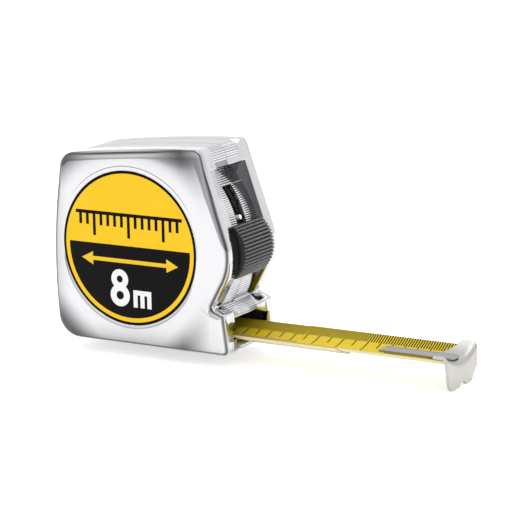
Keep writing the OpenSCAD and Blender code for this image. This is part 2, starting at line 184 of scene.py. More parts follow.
# %% [markdown]
# ### Chrome
# The case is moulded ABS with bright chrome plating. Plated plastic is a true mirror, but it is
# never quite flat: the moulding ripples over centimetres and the plating keeps a little haze.
# One bump and one wandering roughness give that. Two greys are painted over it, both standing in
# for darker surroundings reflected in the chrome: a painted reflection as a line on the rounded
# edge, and a painted shade on the corners of the sides. The line comes from an attribute, as only
# the mesh knows where its edge is rounded, and the corner shade comes from distances, so that it fades
# evenly.

# %% Bright chrome plating on moulded ABS
# the dark grey is a painted dark reflection, laid over the chrome on its rounded edge and side corners
bright, painted_shade_grey = srgb("#CDCDCF"), srgb("#38383A")
chrome, tree, shader, place = new_finish("bright_chrome_on_moulded_abs", "#CDCDCF", 1, 0.05)
grain(tree, shader, place, 11, 0.012, 0.05, 0.11)
split = add(tree, "ShaderNodeSeparateXYZ", {"Vector": place}).outputs
across = formula(tree, ("ABSOLUTE", split["Y"]))
from_reel = add(tree, "ShaderNodeMapping", {
    "Vector": place, "Location": (0, 0, -reel_z * MM), "Scale": (1, 0, 1)})
far = add(tree, "ShaderNodeVectorMath", {0: from_reel.outputs["Vector"]}, operation="LENGTH")

# the painted shade rises toward the corners, the heel and the foot; each row is from, to and how much
painted_corner_shade = 0.0
for value, start, end, most in ((far.outputs["Value"], 33, 43.5, 0.9), (split["X"], -26, -36, 0.4),
                                (split["Z"], 9, 0, 0.32)):
    share = add(tree, "ShaderNodeMapRange", {
        "Value": value, "From Min": start * MM, "From Max": end * MM, "To Max": most},
                interpolation_type="SMOOTHSTEP")
    painted_corner_shade = formula(tree, ("MAXIMUM", painted_corner_shade, share.outputs[0]))
# it stays off the nose and off the rim
for value, start, end in ((split["X"], 34, 22), (across, 14.5, 16)):
    share = add(tree, "ShaderNodeMapRange", {"Value": value, "From Min": start * MM, "From Max": end * MM})
    painted_corner_shade = formula(tree, ("MULTIPLY", painted_corner_shade, share.outputs[0]))

# painted reflection: a dark line along the rounded edge, read from the mesh attribute
line = add(tree, "ShaderNodeAttribute", attribute_name="painted_edge_shade").outputs["Fac"]
painted_shade_amount = formula(tree, ("MAXIMUM", painted_corner_shade, ("MULTIPLY", line, 0.92)))
plate = add(tree, "ShaderNodeMix", {"Factor": painted_shade_amount, 6: bright, 7: painted_shade_grey}, data_type="RGBA")
tree.links.new(plate.outputs[2], shader.inputs["Base Color"])

# Between the fine ribs the chrome is painted darker, a painted shade, so that each valley reads as a grey
# line.
painted_shade_valley_chrome, tree, shader, place = new_finish("painted_shade_chrome_between_ribs", "#7F7F81", 1, 0.3)
grain(tree, shader, place, 1, 0.006, 0.25, 0.4)

# A pressed steel clip has the same plating over a drawn surface, so it is a little hazier.
clip_chrome, tree, shader, place = new_finish("chrome_on_pressed_steel", "#B4B4B6", 1, 0.12)
grain(tree, shader, place, 1.2, 0.004, 0.1, 0.2, (0.2, 1, 1))

# The deep sides of the lock's recess are painted a darker chrome, a painted shade, and
# inside the case there is no plating: the shells are plain black there.
recess_painted_shade_chrome, tree, shader, place = new_finish("chrome_painted_dark_in_recess", "#5A5A5C", 1, 0.12)
grain(tree, shader, place, 4, 0.01, 0.08, 0.2)
bare_abs, tree, shader, place = new_finish("bare_black_abs", "#1C1C1D", 0, 0.5)
grain(tree, shader, place, 0.5, 0.02, 0.4, 0.6)

# %% [markdown]
# ### Moulded plastics
# The thumb grip is moulded in a soft black compound, mottled grey over its ribs, and its grooves
# and ends are painted near black, a painted shade. Nylon has a low sheen, and rubber has none.
# The fine spark-eroded texture of the mould shows as grain.

# %% Grip, nylons and rubbers
grip, tree, shader, place = new_finish("moulded_black_elastomer", "#434344", 0, 0.45)
fine = grain(tree, shader, place, 0.35, 0.05, 0.42, 0.6)[0]
worn = add(tree, "ShaderNodeValToRGB", {"Fac": fine})
for stop, at, colour in zip(worn.color_ramp.elements, (0.35, 0.75), ("#363637", "#6A6A6B")):
    stop.position, stop.color = at, srgb(colour)
tree.links.new(worn.outputs["Color"], shader.inputs["Base Color"])

# Down in the grip's grooves and on its ends the compound is painted near black, a painted shade.
painted_shade_grip_black, tree, shader, place = new_finish("painted_shade_black_elastomer", "#101011", 0, 0.55)
grain(tree, shader, place, 1.5, 0.01, 0.45, 0.7)

# The carrier is black nylon. The pin, reel, washers and liner are left white, and the pad is brown.
black_nylon, tree, shader, place = new_finish("moulded_black_nylon", "#1A1A1B", 0, 0.38)
grain(tree, shader, place, 0.3, 0.02, 0.3, 0.5)
white_nylon, tree, shader, place = new_finish("moulded_white_nylon", "#EDEBE4", 0, 0.4)
grain(tree, shader, place, 0.4, 0.02, 0.34, 0.5)
pad_rubber, tree, shader, place = new_finish("moulded_brake_rubber", "#5B3B2A", 0, 0.8)
grain(tree, shader, place, 0.25, 0.05, 0.7, 0.9)

# %% [markdown]
# ### Steels
# The hook is pressed steel with satin nickel: soft reflections, slightly warm. The strip over its
# rivets is brushed along its length. The spring is tempered blue-grey, and the screws and the
# post are zinc plated, with a cloudy roughness.

# %% Nickel, brushed, tempered and zinc-plated steel
nickel, tree, shader, place = new_finish("satin_nickel_on_pressed_steel", "#B1AFAA", 1, 0.3)
grain(tree, shader, place, 0.7, 0.006, 0.26, 0.38)
brushed, tree, shader, place = new_finish("brushed_stainless_strip", "#9A9A9B", 1, 0.42)
grain(tree, shader, place, 0.25, 0.006, 0.36, 0.5, (0.04, 1, 1))
rivet_steel, tree, shader, place = new_finish("polished_rivet_steel", "#B4B4B2", 1, 0.22)
grain(tree, shader, place, 0.5, 0.006, 0.18, 0.3)
spring_steel, tree, shader, place = new_finish("tempered_spring_steel", "#56606C", 1, 0.32)
grain(tree, shader, place, 0.3, 0.004, 0.28, 0.42, (1, 0.1, 1))
zinc, tree, shader, place = new_finish("zinc_plated_steel", "#A4A8AB", 1, 0.35)
grain(tree, shader, place, 0.6, 0.01, 0.28, 0.45)

# %% [markdown]
# ### Printed tape
# The blade is spring steel with baked yellow enamel, printed in black and varnished. The lines
# are a rule: one a millimetre, longer at five, longest at ten, counted back from the hook's
# inner face and drawn from the far edge. The underside is plain cream enamel.

# %% The tape's enamel, with its rule
hook_t = 1.1
zero_x = hook_high.x - hook_t
line_w = 0.5
line_ends = {1: 7.6, 5: 3.8, 10: 0.6}


def rule_mask(tree, place, start, ends, width):
    """1 on the rule's lines. Each pitch in ends has lines from the far edge in to its own y."""
    split = add(tree, "ShaderNodeSeparateXYZ", {"Vector": place}).outputs
    mask = 0.0
    for pitch, inner_y in ends.items():
        steps = formula(tree, ("DIVIDE", ("SUBTRACT", start * MM, split["X"]), pitch * MM))
        gap = ("ABSOLUTE", ("SUBTRACT", steps, ("ROUND", steps)))
        line = ("LESS_THAN", gap, width / 2 / pitch)
        inside = ("GREATER_THAN", split["Y"], inner_y * MM)
        mask = formula(tree, ("MAXIMUM", mask, ("MULTIPLY", line, inside)))
    return mask


yellow, tree, shader, place = new_finish("baked_yellow_enamel_printed", "#F5CF33", 0, 0.3)
broad = grain(tree, shader, place, 0.5, 0.002, 0.4, 0.52)[1]
mask = rule_mask(tree, place, zero_x, line_ends, line_w)
tone = add(tree, "ShaderNodeMix", {
    "Factor": broad, 6: srgb("#CBB022"), 7: srgb("#D3BA2C")}, data_type="RGBA")
ink = add(tree, "ShaderNodeMix", {
    "Factor": mask, 6: tone.outputs[2], 7: srgb("#17130A")}, data_type="RGBA")
tree.links.new(ink.outputs[2], shader.inputs["Base Color"])
shader.inputs["Specular IOR Level"].default_value = 0.08

cream, tree, shader, place = new_finish("baked_cream_enamel", "#CFC6A2", 0, 0.4)
grain(tree, shader, place, 0.5, 0.003, 0.34, 0.48)

# A wound coil shows its edges as fine rings about the reel's axis.
wound, tree, shader, place = new_finish("wound_tape_edges", "#E2BE30", 0, 0.4)
centred = add(tree, "ShaderNodeMapping", {
    "Vector": place, "Location": (0, 0, -reel_z * MM), "Scale": (1, 0, 1)})
distance = add(tree, "ShaderNodeVectorMath", {0: centred.outputs["Vector"]}, operation="LENGTH")
ring_gap = 0.6 * MM
turns = formula(tree, ("PINGPONG", distance.outputs["Value"], ring_gap))
dark = add(tree, "ShaderNodeMapRange", {"Value": turns, "From Max": ring_gap})
edge = add(tree, "ShaderNodeMix", {
    "Factor": dark.outputs["Result"], 6: srgb("#6E6A5C"), 7: srgb("#E6C23A")}, data_type="RGBA")
tree.links.new(edge.outputs[2], shader.inputs["Base Color"])

# %% [markdown]
# ### The label
# A round vinyl label, screen printed and laid in a shallow seat. It has a black rim, a yellow
# ring, a yellow upper half and a black lower half. Its art is plain: a row of rule marks above,
# a two-headed arrow and the figure for the tape's length below.

# %% Printed vinyl
divide_z = 0.8
rim_in, ring_in = 27.8, 26.2


class Art:
    """Shapes as masks on the label's own plane, with u to the reader's right and v up, in millimetres."""

    def __init__(self, tree, place, side):
        split = add(tree, "ShaderNodeSeparateXYZ", {"Vector": place})
        self.tree = tree
        self.u = self.mask("MULTIPLY", split.outputs["X"], side / MM)
        self.v = self.mask("SUBTRACT", ("MULTIPLY", split.outputs["Z"], 1 / MM), reel_z)

    def mask(self, *what):
        return formula(self.tree, what)

    def disc(self, u, v, r):
        du, dv = self.mask("SUBTRACT", self.u, u), self.mask("SUBTRACT", self.v, v)
        return self.mask("LESS_THAN", ("SQRT", ("ADD", ("MULTIPLY", du, du), ("MULTIPLY", dv, dv))), r)

    def block(self, u, v, w, h):
        across = ("LESS_THAN", ("ABSOLUTE", ("SUBTRACT", self.u, u)), w / 2)
        up = ("LESS_THAN", ("ABSOLUTE", ("SUBTRACT", self.v, v)), h / 2)
        return self.mask("MULTIPLY", across, up)

    def either(self, *masks):
        joint = masks[0]
        for other in masks[1:]:
            joint = self.mask("MAXIMUM", joint, other)
        return joint

    def less(self, mask, hole):
        return self.mask("MULTIPLY", mask, ("SUBTRACT", 1.0, hole))

    def arrow(self, u, v, length, h):
        """A head that points along +u when length is positive."""
        along = self.mask("DIVIDE", ("SUBTRACT", u + length, self.u), length)
        rise = ("DIVIDE", ("ABSOLUTE", ("SUBTRACT", self.v, v)), h / 2)
        return self.mask("MULTIPLY", ("LESS_THAN", rise, along), ("LESS_THAN", along, 1.0))


def printed_label(name, side):
    """The label's finish. Side is 1 on the left face and -1 on the right, so that u runs the right way."""
    finish, tree, shader, place = new_finish(name, "#FDD535", 0, 0.35)
    art = Art(tree, place, side)
    # a rule: bars every 3 mm, all but every fifth cut short, hung from a line
    band, lower_half = art.block(0, 8.2, 45, 9), art.block(0, 5.6, 46, 4)
    bars = art.mask("MULTIPLY", band, ("LESS_THAN", ("PINGPONG", art.u, 1.5), 0.62))
    cut = art.mask("MULTIPLY", lower_half, ("GREATER_THAN", ("PINGPONG", art.u, 7.5), 1.2))
    line = art.block(0, 12.3, 46.2, 1.3)
    above = art.either(art.less(bars, cut), line)
    # below: a two-headed arrow, the figure and a comb of unit marks
    arrow = art.either(art.block(0, -5.0, 36, 1.5), art.arrow(16, -5.0, 5, 5), art.arrow(-16, -5.0, -5, 5))
    figure = art.less(art.either(art.disc(-4.5, -11.9, 3.7), art.disc(-4.5, -18.0, 4.2)),
                      art.either(art.disc(-4.5, -11.9, 1.3), art.disc(-4.5, -18.0, 1.6)))
    comb = art.either(art.block(5.2, -16.4, 7.8, 1.8), art.block(2.2, -18.9, 1.8, 6.2),
                      art.block(5.2, -18.9, 1.8, 6.2), art.block(8.2, -18.9, 1.8, 6.2))
    lower = ("LESS_THAN", art.v, divide_z)
    dark = art.mask("MULTIPLY", lower, art.disc(0, 0, ring_in))
    rim = art.mask("SUBTRACT", 1.0, art.disc(0, 0, rim_in))
    broad = grain(tree, shader, place, 0.8, 0.003, 0.3, 0.42)[1]
    colour = add(tree, "ShaderNodeMix", {
        "Factor": broad, 6: srgb("#E2B722"), 7: srgb("#E8BE2C")}, data_type="RGBA").outputs[2]
    for mask, ink in ((dark, "#100F10"), (rim, "#080808"), (above, "#100F10"), (arrow, "#DDB82C"),
                      (art.either(figure, comb), "#E2E2E0")):
        colour = add(tree, "ShaderNodeMix", {
            "Factor": mask, 6: colour, 7: srgb(ink)}, data_type="RGBA").outputs[2]
    tree.links.new(colour, shader.inputs["Base Color"])
    shader.inputs["Specular IOR Level"].default_value = 0.05
    return finish


label_left = printed_label("screen_printed_vinyl_left", 1)
label_right = printed_label("screen_printed_vinyl_right", -1)
print("finishes:", len(bpy.data.materials))

# %% [markdown]
# ## The case
# Two moulded shells meet on the middle plane. Each has a flat side with a soft crown, a
# rounded edge, and a sunken ribbed band over the top and back. The CAD shell already has the
# lock's recess, the mouth, the bosses and the seats, but its rounded edge is in steps. So a
# smooth block is skinned just inside its outside, and the two are joined by a Boolean
# intersection: the outside comes from the block and all the openings come from the CAD.

# %% The case's side outline
flange_r = coil_r + 1.2
case_back = flange_r + 4.2
case_front = flange_r + 12.2
case_h = 75
bulge_x = case_front + 1.5
bulge_z = reel_z - 2.2
crown_z = case_h + 0.2
front_lean = radians(19.4)
outline = [
    (-case_back + 1, 0, 9),
    (case_front - 1.5, 0, 2.5),
    (case_front - 2.9, 15.6, 1.5),
    (case_front - 7.8, 17.6, 0.8),
    (bulge_x, bulge_z, 20),
    (bulge_x - tan(front_lean) * (crown_z - bulge_z), crown_z, 3.5),
    (0, case_h - 1.1, 520),
    (-case_back + 3.5, case_h - 5.1, 6.5),
    (-case_back - 0.9, reel_z - 2.9, 230)]
sides = [ceil(hypot(outline[i][0] - q[0], outline[i][1] - q[1]) / 2.5) for i, q in
         enumerate(outline[1:] + outline[:1])]


def moved_in(points, d):
    """The outline with every side moved inwards by d."""
    made = []
    for i, (x, z, r) in enumerate(points):
        p, q, s = Vector(points[i - 1][:2]), Vector((x, z)), Vector(points[(i + 1) % len(points)][:2])
        e, f = (q - p).normalized(), (s - q).normalized()
        m, k = Vector((-e.y, e.x)), Vector((-f.y, f.x))
        q = q + d * (m + k) / (1 + m.dot(k))
        made.append((q.x, q.y, max(r - d, 0.4) if e.cross(f) > 0 else r + d))
    return made


def case_loop(d, arc_steps=14):
    """Points round the case's outline at an inset, always the same number of them."""
    points, loop = moved_in(outline, d), []
    for i, (x, z, r) in enumerate(points):
        p, q, s = Vector(points[i - 1][:2]), Vector((x, z)), Vector(points[(i + 1) % len(points)][:2])
        a, b = (p - q).normalized(), (s - q).normalized()
        half = a.angle(b) / 2
        centre = q + (a + b).normalized() * r / sin(half)
        start, end = q + a * r / tan(half) - centre, q + b * r / tan(half) - centre
        turn = atan2(start.x * end.y - start.y * end.x, start.dot(end))
        for j in range(arc_steps + 1):
            c, n = cos(turn * j / arc_steps), sin(turn * j / arc_steps)
            loop.append(centre + Vector((start.x * c - start.y * n, start.x * n + start.y * c)))
        next_r = points[(i + 1) % len(points)][2]
        t = Vector(points[(i + 2) % len(points)][:2])
        next_half = (q - s).normalized().angle((t - s).normalized()) / 2
        last, first = loop[-1], s + (q - s).normalized() * next_r / tan(next_half)
        loop += [last.lerp(first, j / sides[i]) for j in range(1, sides[i])]
    return loop


print("points round the case:", len(case_loop(0)))

# %% A smooth block for one shell
track_r = flange_r + 7.8
clear = 0.16            # how far the smooth outside stays inside the CAD's
edge_r = 3.0
band_half = 9.0         # half width of the sunken ribbed band
band_deep = 0.3
label_seat_r = 29.2
ring_r = 30.3           # the fine raised ring round the label


def side_y(x, z):
    """Height of the side's surface: flat under the label, then falling away, more so above."""
    out = max(hypot(x, z - reel_z) - label_seat_r, 0)
    slope = 0.05 + 0.09 * min(max((z - reel_z + 12) / 36, 0), 1)
    bend = 6
    return half_w - 0.03 - slope * bend * (sqrt(1 + (out / bend) ** 2) - 1)


def block_rows():
    """Rows from the middle plane out: seam, sunken band, rim, rounded edge, side and label seat."""
    rows = []
    rim = ((0, 0.25), (0.25, 0), (band_half, 0), (band_half + 0.12, -band_deep),
           (half_w - edge_r, -band_deep))
    for y, d in rim:
        rows.append([(p.x, y, p.y) for p in case_loop(clear + band_deep + d)])
    for k in range(1, 10):
        a = pi / 2 * k / 9
        low = half_w - edge_r
        rows.append([(p.x, low + (side_y(p.x, p.y) - low) * sin(a), p.y)
                     for p in case_loop(clear + edge_r * (1 - cos(a)))])
    edge = [Vector((x, z)) for x, y, z in rows[-1]]
    angles = [atan2(p.y - reel_z, p.x) for p in edge]
    for j in range(1, len(angles)):
        step = (angles[j] - angles[j - 1] + pi) % (2 * pi) - pi
        angles[j] = angles[j - 1] + max(step, 1e-3)
    over = angles[-1] - angles[0] - (2 * pi - 0.02)
    if over > 0:
        angles = [a - over * j / (len(angles) - 1) for j, a in enumerate(angles)]

    def ring(r, lift=0.0):
        spots = [(r * cos(a), reel_z + r * sin(a)) for a in angles]
        return [(x, side_y(x, z) + lift, z) for x, z in spots]

    outer = ring(ring_r + 0.55)
    for k in range(1, 12):
        row = []
        for p, q in zip(edge, outer):
            t = (k / 12) ** 1.4
            x, z = p.x + (q[0] - p.x) * t, p.y + (q[2] - p.y) * t
            row.append((x, side_y(x, z), z))
        rows.append(row)
    raised = [ring(ring_r + out, lift) for out, lift in ((0.22, 0), (0.08, 0.05), (-0.08, 0.05), (-0.22, 0))]
    return rows + [outer, *raised, ring(label_seat_r - 1)]


def smooth_block(side):
    bm = skin([[(x, y * side, z) for x, y, z in row] for row in block_rows()])
    print("block volume", round(bm.calc_volume()), "mm3")
    return bm


def loose(name, bm):
    mesh = bpy.data.meshes.new(name)
    bm.to_mesh(mesh)
    bm.free()
    obj = bpy.data.objects.new(name, mesh)
    scene.collection.objects.link(obj)
    return obj


def cad_copy(node):
    """A merged copy of a CAD node's mesh, in millimetres."""
    bm = bmesh.new()
    bm.from_mesh(nodes[node].data)
    bmesh.ops.scale(bm, vec=(1 / MM,) * 3, verts=bm.verts)
    bmesh.ops.remove_doubles(bm, verts=bm.verts, dist=1e-4)
    return bm


def intersection(a, b):
    """The part that two bmeshes share, by an exact Boolean."""
    first, second = loose("smooth_block", a), loose("cad_block", b)
    cut = first.modifiers.new("cut", "BOOLEAN")
    cut.operation, cut.solver, cut.object = "INTERSECT", "EXACT", second
    bpy.context.view_layer.update()
    mesh = bpy.data.meshes.new_from_object(first.evaluated_get(bpy.context.evaluated_depsgraph_get()))
    bm = bmesh.new()
    bm.from_mesh(mesh)
    for made in (first, second):
        bpy.data.objects.remove(made, do_unlink=True)
    bpy.data.meshes.remove(mesh)
    bmesh.ops.remove_doubles(bm, verts=bm.verts, dist=2e-4)
    bmesh.ops.dissolve_degenerate(bm, dist=1e-4, edges=bm.edges)
    return bm


# %% [markdown]
# Inside, behind the track and in its slot the shells are bare plastic, and the recess's deep
# side walls are painted darker, a painted shade. An attribute is laid on the points of the rounded
# edge: 1 where the surface turns from side to rim, and nothing elsewhere, for the chrome to read as a painted
# dark reflection.

# %% The two shells
def within(loop, x, z):
    """Whether a point is inside a loop, by counting the sides that a line from it crosses."""
    inside = False
    for a, b in zip(loop, loop[1:] + loop[:1]):
        if (a.y > z) != (b.y > z) and x < (b.x - a.x) * (z - a.y) / (b.y - a.y) + a.x:
            inside = not inside
    return inside


cavity = case_loop(2.0)
for name, node, side in (("shell_left", "case_left", -1), ("shell_right", "case_right", 1)):
    shell = intersection(smooth_block(side), cad_copy(node))
    for face in shell.faces:
        c = face.calc_center_median()
        far = hypot(c.x, c.z - reel_z)
        tunnel = 1.7 < c.z < 11.2
        behind_track = far < track_r - 1.7 or tunnel
        inside = abs(c.y) < half_w - 2.1 and within(cavity, c.x, c.z) and behind_track
        faces_slot = c.x > 10 and abs(c.y) < 3.4 and abs(face.normal.y) > 0.5
        if inside or (faces_slot and track_r - 4 < far < track_r - 0.1):
            face.material_index = 2
        # the recess's deep side walls take the darker chrome, a painted shade
        elif 10.9 < abs(c.y) < 11.1 and abs(face.normal.y) > 0.9 and c.z > 17.5:
            face.material_index = 1
    shell.normal_update()
    # painted reflection: 1 on the middle of the rounded edge, where the chrome is painted dark
    painted_edge_shade = shell.verts.layers.float.new("painted_edge_shade")
    for v in shell.verts:
        if abs(v.co.y) > half_w - edge_r and hypot(v.co.x, v.co.z - reel_z) > ring_r + 1.2:
            middle = 0.72 if v.co.x > -30 else 0.82
            v[painted_edge_shade] = min(max(1.8 - abs(abs(v.normal.y) - middle) / 0.1, 0), 1)
    print(name, "volume", round(shell.calc_volume()), "mm3")
    piece(name, shell, "case", [chrome, recess_painted_shade_chrome, bare_abs], [node], sharp=32)

# %% [markdown]
# ### Ribs
# The band over the case, the lock's track and the lip all have fine ribs across them. On the
# real case they hide the seam and give grip. Each set is one strip whose upper side rises and
# falls along a path, which is lighter than hundreds of separate bars and leaves no gaps.

# %% Ribbed strips
def along_path(points, pitch, heights):
    """Walks a path and returns (point, outward direction, height), one set for each rib."""
    lengths = [0.0]
    for a, b in zip(points, points[1:]):
        lengths.append(lengths[-1] + (b - a).length)
    count = int(lengths[-1] / pitch)
    wanted = [(k + f) * lengths[-1] / count for k in range(count) for f, h in heights]
    out, i = [], 0
    for n, s in enumerate(wanted):
        while lengths[i + 1] < s:
            i += 1
        a, b = points[i], points[i + 1]
        t = (s - lengths[i]) / (lengths[i + 1] - lengths[i])
        direction = (b - a).normalized()
        out.append((a.lerp(b, t), Vector((direction.y, -direction.x)), heights[n % len(heights)][1]))
    return out


def ribbed(points, pitch, height, y0, y1, root=0.25):
    """A strip of ribs from y0 to y1, on a path that runs anticlockwise seen from the left side."""
    shape = ((0, 0), (0.12, 0), (0.26, 0.8), (0.5, 1), (0.74, 0.8), (0.88, 0))
    walk = along_path(points, pitch, shape)
    top = [p + n * h * height for p, n, h in walk]
    low = [p - n * root for p, n, h in walk]
    section = ((low, y0), (top, y0), (top, y1), (low, y1), (low, y0))
    rows = [[(p.x, y, p.y) for p in line] for line, y in section]
    bm = skin(rows, closed=False)
    # faces down in the valleys take the second finish, a painted shade
    valleys = {(round(p.x, 3), round(p.y, 3)) for p, n, h in walk if h == 0}
    for face in bm.faces:
        if all((round(v.co.x, 3), round(v.co.z, 3)) in valleys for v in face.verts):
            face.material_index = 1
    return bm


def joined(parts):
    """Several bmeshes as one."""
    whole = bmesh.new()
    for part in parts:
        mesh = bpy.data.meshes.new("part")
        part.to_mesh(mesh)
        part.free()
        whole.from_mesh(mesh)
        bpy.data.meshes.remove(mesh)
    return whole


def on_arc(r, a0, a1, steps):
    """Points on an arc about the reel's centre, between two angles in degrees."""
    angles = [radians(a0 + (a1 - a0) * i / steps) for i in range(steps + 1)]
    return [Vector((r * cos(a), reel_z + r * sin(a))) for a in angles]


slot_half, slot_low, slot_top = 3.2, -9.9, 36.9
ring = case_loop(clear + band_deep)
front_top = max(range(len(ring)), key=lambda i: ring[i].x * 0.35 + ring[i].y)
over = [ring[(front_top + i) % len(ring)] for i in range(-12, len(ring))]
start = next(i for i, p in enumerate(over) if p.y > reel_z + track_r * sin(radians(53.5)) + 0.3)
stop = next(i for i in range(start + 60, len(over)) if over[i].y < 1.2 and over[i].x > 30)
over = over[start:stop]
print("ribbed band's ends:", [tuple(round(c, 1) for c in end) for end in (over[0], over[-1])])
lip_path = [Vector(p) for p in ((35.9, 11.35), (36.12, 12.2), (35.95, 13.1), (34.6, 14.9), (33.2, 16.8))]
for side, word in ((-1, "left"), (1, "right")):
    band = ribbed(over, 0.9, 0.24, 0.14 * side, band_half * side)
    piece("band_ribs_" + word, band, "case", [chrome, painted_shade_valley_chrome], sharp=60)
    runs = ((slot_top, 53.2, 0.14), (slot_low, slot_top, slot_half + 0.02), (-31.5, slot_low, 0.14))
    track = joined([ribbed(on_arc(track_r, a, b, 60), 0.86, 0.18, y * side, 10.98 * side, 0.3)
                    for a, b, y in runs])
    piece("track_ribs_" + word, track, "case", [chrome, painted_shade_valley_chrome], sharp=60)
    lip = ribbed(lip_path, 0.8, 0.26, 0.14 * side, 10.9 * side, 0.4)
    piece("lip_ribs_" + word, lip, "case", [chrome, painted_shade_valley_chrome], sharp=60)

# %% [markdown]
# ## The labels
# Each is a thin disc with a rounded edge and a small half-round notch at the bottom, which
# sets it straight in its seat.

# %% Two label discs
for name, node, side, print_ in (("label_left_disc", "label_left", -1, label_left),
                                 ("label_right_disc", "label_right", 1, label_right)):
    low, high = box_mm(node)
    r = (high.x - low.x) / 2
    y_in, y_out = sorted((low.y, high.y), key=lambda y: abs(y))

    def rim(radius, y):
        points = []
        for i in range(180):
            a = 2 * pi * i / 180 - pi / 2
            x, z = radius * cos(a), radius * sin(a)
            if hypot(x, z + r) < 1:
                z = -r + sqrt(max(1 - x * x, 0))
            points.append((x, y, reel_z + z))
        return points

    edge = ((0, y_in), (0, y_out - 0.08 * side), (0.03, y_out - 0.02 * side), (0.1, y_out))
    disc = skin([rim(r - inset, y) for inset, y in edge])
    piece(name, disc, "case", [print_], [node])

# %% [markdown]
# ## The tape
# The blade is a strip curled across its width, which keeps it stiff when it is out. Two pieces
# stand for it: the outer one carries the hook, and the inner one feeds it from the reel. Both
# are skins between two arcs. Faces that look up take the printed enamel and the rest the cream.

# %% The two straight pieces of tape
curl_r = 21.0
belly_z = 3.8
curl_z = belly_z + curl_r
curl_half = 12.5 / curl_r
tape_t = 0.2


def curled_section(r_top, thick, half, steps=40):
    """The blade's section: two arcs, the upper from one edge to the other and the lower back."""
    angles = [-half + 2 * half * i / steps for i in range(steps + 1)]
    top = [(r_top * sin(a), curl_z - r_top * cos(a)) for a in angles]
    low = [((r_top + thick) * sin(a), curl_z - (r_top + thick) * cos(a)) for a in reversed(angles)]
    return top + low


def dipped_section(r_top, thick, half, steps=14):
    """The same, with a flat-bottomed dip along the middle, for the hook's rivets to pass over."""
    wide = 2.4
    low_z = belly_z - 1.1

    def arc(r, a, b):
        turns = [a + (b - a) * i / steps for i in range(steps + 1)]
        return [(r * sin(t), curl_z - r * cos(t)) for t in turns]

    a_top, a_low = asin(wide / r_top), asin((wide + thick) / (r_top + thick))
    dip_top = [(-wide, low_z + thick), (wide, low_z + thick)]
    dip_low = [(wide + thick, low_z), (-wide - thick, low_z)]
    top = arc(r_top, -half, -a_top) + dip_top + arc(r_top, a_top, half)
    low = arc(r_top + thick, half, a_low) + dip_low + arc(r_top + thick, -a_low, -half)
    return top + low


def tape_piece(name, node, body, section):
    """A length of blade with that section, as long as its CAD node."""
    low, high = box_mm(node)
    count = 24
    rows = [[(low.x + (high.x - low.x) * k / count, y, z) for y, z in section] for k in range(count + 1)]
    bm = skin(rows)
    for face in bm.faces:
        face.material_index = 0 if face.normal.z > 0.3 else 1
    return piece(name, bm, body, [yellow, cream], [node])


tape_piece("tape_blade_outer", "tape_outer", "tape_end", curled_section(curl_r, tape_t, curl_half))
tape_piece("tape_blade_inner", "tape_inner", "tape_feed", dipped_section(curl_r + 0.3, tape_t, curl_half))

# %% [markdown]
# ## The hook
# One piece of sheet steel: a flange that lies in the tape's curl, a bend, and a face that hangs
# down. It is skinned from side to side. At each distance from the middle a bent strip section
# is worked out, so the bend follows the curl, and the lower edge gets its corners and notch.

# %% Hook, bent from sheet
hook_half = 12.2
top_r = curl_r - 0.05 - hook_t
front_x = hook_high.x
drop = -hook_low.z
tang_half = 2.9
rivet_xs = [zero_x - 6.6 - 10.4 * i for i in range(3)]


def face_bottom(y):
    """Height of the face's lower edge: a round near corner, a notch in the middle, a cut far corner."""
    if y < -hook_half + 2.6:
        c = -hook_half + 2.6
        return -drop + 2.6 - sqrt(max(2.6 ** 2 - (c - y) ** 2, 0))
    if abs(y) < 3:
        return -drop + min((3 - abs(y)) * 1.0, 1.4)
    if y > hook_half - 4.5:
        return -drop + (y - hook_half + 4.5) * 1.05
    return -drop


def hook_section(y, rear):
    """The bent strip at one distance across, outer side forwards and back along the inner side."""
    bend, steps = 2.3, 10
    top_z = curl_z - sqrt(top_r ** 2 - y ** 2)
    under_z = curl_z - sqrt((top_r + hook_t) ** 2 - y ** 2)
    bottom = face_bottom(y)
    outer = [(rear + (front_x - bend - rear) * k / 8, top_z) for k in range(9)]
    for k in range(1, steps + 1):
        a = pi / 2 * k / steps
        outer.append((front_x - bend + bend * sin(a), top_z - bend + bend * cos(a)))
    outer += [(front_x, outer[-1][1] + (bottom - outer[-1][1]) * k / 6) for k in range(1, 7)]
    inner_x, small = front_x - hook_t, bend - hook_t
    inner = [(rear + (inner_x - small - rear) * k / 8, under_z) for k in range(9)]
    for k in range(1, steps + 1):
        a = pi / 2 * k / steps
        inner.append((inner_x - small + small * sin(a), under_z - small + small * cos(a)))
    inner += [(inner_x, inner[-1][1] + (bottom - inner[-1][1]) * k / 6) for k in range(1, 7)]
    taper = 0.19 if y < 0 else 0.05
    start = belly_z + 2

    def narrowed(z):
        return y * (1 - taper * min(max((start - z) / (start + drop), 0), 1))

    return [(x, narrowed(z), z) for x, z in outer + inner[::-1]]


def flange_rear(y):
    """Where the flange ends at the rear: furthest back at the tang, and forward toward the sides."""
    out = max(abs(y) - tang_half, 0) / (hook_half - tang_half)
    return zero_x - 11 + 6.5 * out


spread = [-hook_half + 0.35 * k for k in range(8)] + [-9.4 + 0.5 * k for k in range(13)]
ys = sorted(set([round(v, 3) for v in spread] + [round(-v, 3) for v in spread] +
                [-3, -tang_half, -2.3, -1.6, -0.8, 0, 0.8, 1.6, 2.3, tang_half, 3]))
rows = [hook_section(y, flange_rear(y)) for y in ys]
hook_bm = soften(skin(rows), 0.16, least=55)
piece("end_hook", hook_bm, "hook", [nickel], ["hook"])

# %% [markdown]
# The hook's long tang lies under a flat strip, riveted through the tape. The strip covers the
# slots that let the hook slide by its own thickness.

